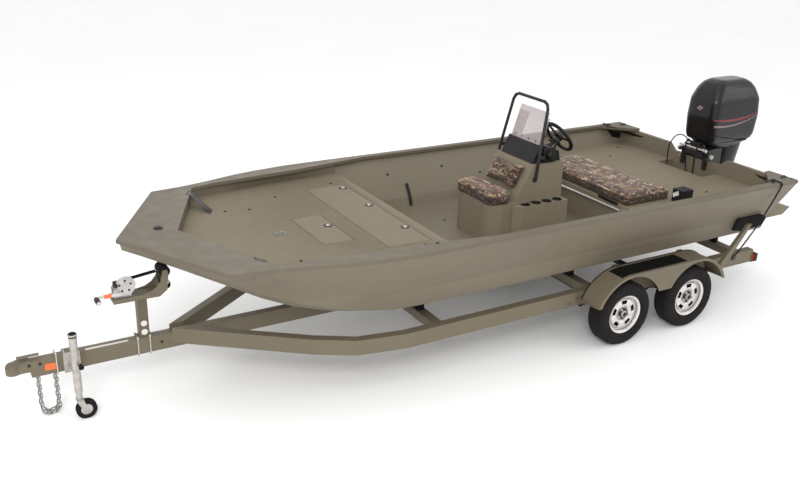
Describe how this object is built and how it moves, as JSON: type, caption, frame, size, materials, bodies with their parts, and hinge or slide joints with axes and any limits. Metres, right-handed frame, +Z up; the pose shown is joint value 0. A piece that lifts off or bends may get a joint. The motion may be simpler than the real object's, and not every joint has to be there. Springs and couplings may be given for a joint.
{
  "type": "jon boat on trailer",
  "caption": "Open flat-bottomed jon boat with a centre console, raised front deck and outboard motor, standing on its tandem-axle trailer and tongue jack.",
  "frame": {"origin": "on the ground under the middle of the overall bounding box", "axes": "+X forward to the trailer coupler, +Y to port, +Z up"},
  "size_m": [7.626, 2.464, 2.0729],
  "materials": {
    "hull_paint": "satin",
    "deck_paint": "matt",
    "frame_paint": "satin",
    "camo_fabric": "matt",
    "black_plastic": "matt",
    "gloss_cowl": "gloss",
    "motor_grey": "satin",
    "smoke_shield": "clear",
    "bright_steel": "satin",
    "rubber": "matt",
    "carpet": "matt",
    "strap": "matt",
    "red_lens": "gloss"
  },
  "bodies": {
    "boat_and_trailer": {"hull_bottom": "hull_paint", "side_port": "hull_paint", "side_starboard": "hull_paint", "fore_hull": "hull_paint", "gunwale_port": "hull_paint", "gunwale_starboard": "hull_paint", "bow_plate": "hull_paint", "front_deck": "deck_paint", "transom": "hull_paint", "rear_deck": "deck_paint", "bench_cushion": "camo_fabric", "bench_rod": "bright_steel", "console_body": "deck_paint", "console_seat": "camo_fabric", "console_backrest": "camo_fabric", "windshield": "smoke_shield", "dash": "black_plastic", "grab_rail": "black_plastic", "side_rack": "black_plastic", "stern_box": "black_plastic", "motor_bracket": "motor_grey", "tongue": "frame_paint", "rail_port": "frame_paint", "rail_starboard": "frame_paint", "cross_front": "frame_paint", "cross_mid": "frame_paint", "cross_rear": "frame_paint", "bunk_port": "carpet", "bunk_starboard": "carpet", "guide_port": "frame_paint", "guide_starboard": "frame_paint", "winch_post": "frame_paint", "winch": "bright_steel", "winch_strap": "strap", "bow_roller": "rubber", "coupler": "frame_paint", "safety_chains": "bright_steel", "jack_bracket": "bright_steel", "fender_port": "frame_paint", "fender_starboard": "frame_paint", "tail_lamps": "red_lens", "axle_front": "motor_grey", "axle_rear": "motor_grey"},
    "wheel_port_front": {"tyre_port_front": "rubber", "rim_port_front": "bright_steel"},
    "wheel_port_rear": {"tyre_port_rear": "rubber", "rim_port_rear": "bright_steel"},
    "wheel_starboard_front": {"tyre_starboard_front": "rubber", "rim_starboard_front": "bright_steel"},
    "wheel_starboard_rear": {"tyre_starboard_rear": "rubber", "rim_starboard_rear": "bright_steel"},
    "jack": {"jack_leg": "bright_steel"},
    "jack_caster": {"jack_wheel": "rubber"},
    "swivel": {"motor_swivel": "motor_grey"},
    "outboard": {"motor_cowl": "gloss_cowl", "motor_leg": "motor_grey"},
    "prop": {"propeller": "motor_grey"},
    "helm_wheel": {"steering_wheel": "black_plastic"},
    "long_hatch": {"hatch_large": "deck_paint"},
    "short_hatch": {"hatch_small": "deck_paint"}
  },
  "joints": [
    {"name": "spin_port_front", "type": "hinge", "parent": "boat_and_trailer", "child": "wheel_port_front", "pos_m": [-1.171, 1.096, 0.302], "axis": [0, 1, 0], "continuous": true},
    {"name": "spin_port_rear", "type": "hinge", "parent": "boat_and_trailer", "child": "wheel_port_rear", "pos_m": [-1.983, 1.096, 0.302], "axis": [0, 1, 0], "continuous": true},
    {"name": "spin_starboard_front", "type": "hinge", "parent": "boat_and_trailer", "child": "wheel_starboard_front", "pos_m": [-1.171, -1.096, 0.302], "axis": [0, 1, 0], "continuous": true},
    {"name": "spin_starboard_rear", "type": "hinge", "parent": "boat_and_trailer", "child": "wheel_starboard_rear", "pos_m": [-1.983, -1.096, 0.302], "axis": [0, 1, 0], "continuous": true},
    {"name": "jack_swing", "type": "hinge", "parent": "boat_and_trailer", "child": "jack", "pos_m": [3.353, 0.188, 0.412], "axis": [0, 1, 0], "range_deg": [0, 90]},
    {"name": "jack_wheel_spin", "type": "hinge", "parent": "jack", "child": "jack_caster", "pos_m": [3.313, 0.188, 0.077], "axis": [0, 1, 0], "continuous": true},
    {"name": "motor_tilt", "type": "hinge", "parent": "boat_and_trailer", "child": "swivel", "pos_m": [-3.123, 0, 1.27], "axis": [0, 1, 0], "range_deg": [0, 64]},
    {"name": "motor_steer", "type": "hinge", "parent": "swivel", "child": "outboard", "pos_m": [-3.338, 0, 1.12], "axis": [0, 0, 1], "range_deg": [-30, 30]},
    {"name": "propeller_spin", "type": "hinge", "parent": "outboard", "child": "prop", "pos_m": [-3.728, 0, 0.5], "axis": [1, 0, 0], "continuous": true},
    {"name": "wheel_turn", "type": "hinge", "parent": "boat_and_trailer", "child": "helm_wheel", "pos_m": [-1.213, 0, 1.646], "axis": [-0.8191, 0, 0.5736], "range_deg": [-510, 510]},
    {"name": "long_hatch_hinge", "type": "hinge", "parent": "boat_and_trailer", "child": "long_hatch", "pos_m": [1.056, 0, 1.2], "axis": [0, 1, 0], "range_deg": [0, 100]},
    {"name": "short_hatch_hinge", "type": "hinge", "parent": "boat_and_trailer", "child": "short_hatch", "pos_m": [1.486, 0.19, 1.2], "axis": [0, 1, 0], "range_deg": [0, 100]}
  ],
  "couplings": [
    {"joint": "wheel_turn", "follows": "motor_steer", "ratio": -17}
  ]
}
